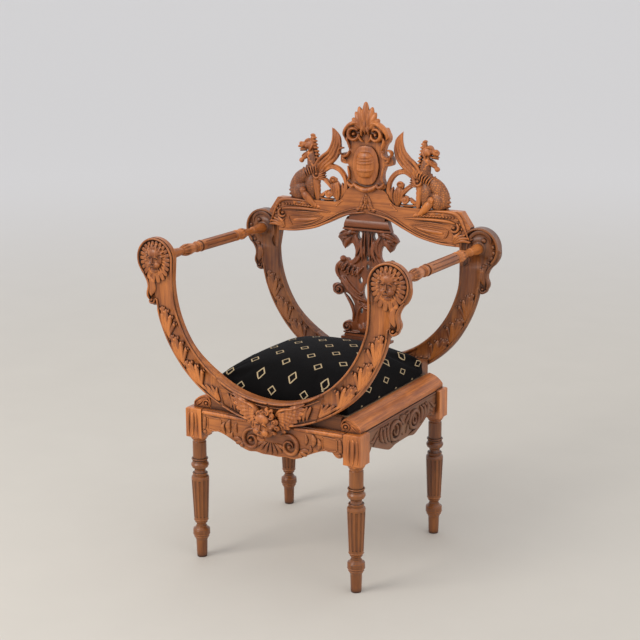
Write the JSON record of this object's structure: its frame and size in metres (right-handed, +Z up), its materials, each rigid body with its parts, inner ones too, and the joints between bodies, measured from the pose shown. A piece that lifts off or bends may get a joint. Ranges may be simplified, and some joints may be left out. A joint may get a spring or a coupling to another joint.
{
  "type": "savonarola chair",
  "caption": "Carved walnut armchair with U-shaped front and rear bows, turned arm rails, a pierced splat, a dragon crest and a loose velvet seat on fluted legs.",
  "frame": {"origin": "on the floor under the middle of the chair, halfway between the outer faces of the front and rear bows", "axes": "+Z up, -Y towards the front of the chair, +X to the right seen from the front"},
  "size_m": [0.713, 0.525, 1.0716],
  "materials": {
    "leg": "satin carved walnut",
    "apron": "satin carved walnut",
    "roll": "satin walnut",
    "rail": "satin walnut",
    "bow": "satin carved walnut",
    "arm_rail": "satin turned walnut",
    "crest": "satin carved walnut",
    "dowel": "plain beech",
    "splat": "satin dark carved walnut",
    "head": "satin carved walnut",
    "seat_frame": "plain beech and ply",
    "cushion": "black velvet with small cream lozenges"
  },
  "bodies": {
    "chair": {"leg_front_left": "leg", "leg_front_right": "leg", "leg_rear_left": "leg", "leg_rear_right": "leg", "apron_front": "apron", "apron_rear": "apron", "apron_left": "apron", "apron_right": "apron", "seat_roll_left": "roll", "seat_roll_right": "roll", "seat_rail_front": "rail", "seat_rail_rear": "rail", "bow_front_arm_left": "bow", "bow_front_arm_right": "bow", "bow_front_centre": "bow", "bow_rear_arm_left": "bow", "bow_rear_arm_right": "bow", "bow_rear_centre": "bow", "arm_rail_left": "arm_rail", "arm_rail_right": "arm_rail", "crest_rail": "crest", "shield": "crest", "dragon_left": "crest", "dragon_right": "crest", "crest_dowels": "dowel", "splat": "splat", "splat_cap": "splat", "splat_base": "splat", "winged_head": "head"},
    "seat": {"seat_frame": "seat_frame", "seat_deck": "seat_frame", "seat_cushion": "cushion"}
  },
  "joints": [
    {"name": "seat_lift", "type": "slide", "parent": "chair", "child": "seat", "axis": [0, 0, 1], "range_m": [0, 0.15]}
  ]
}
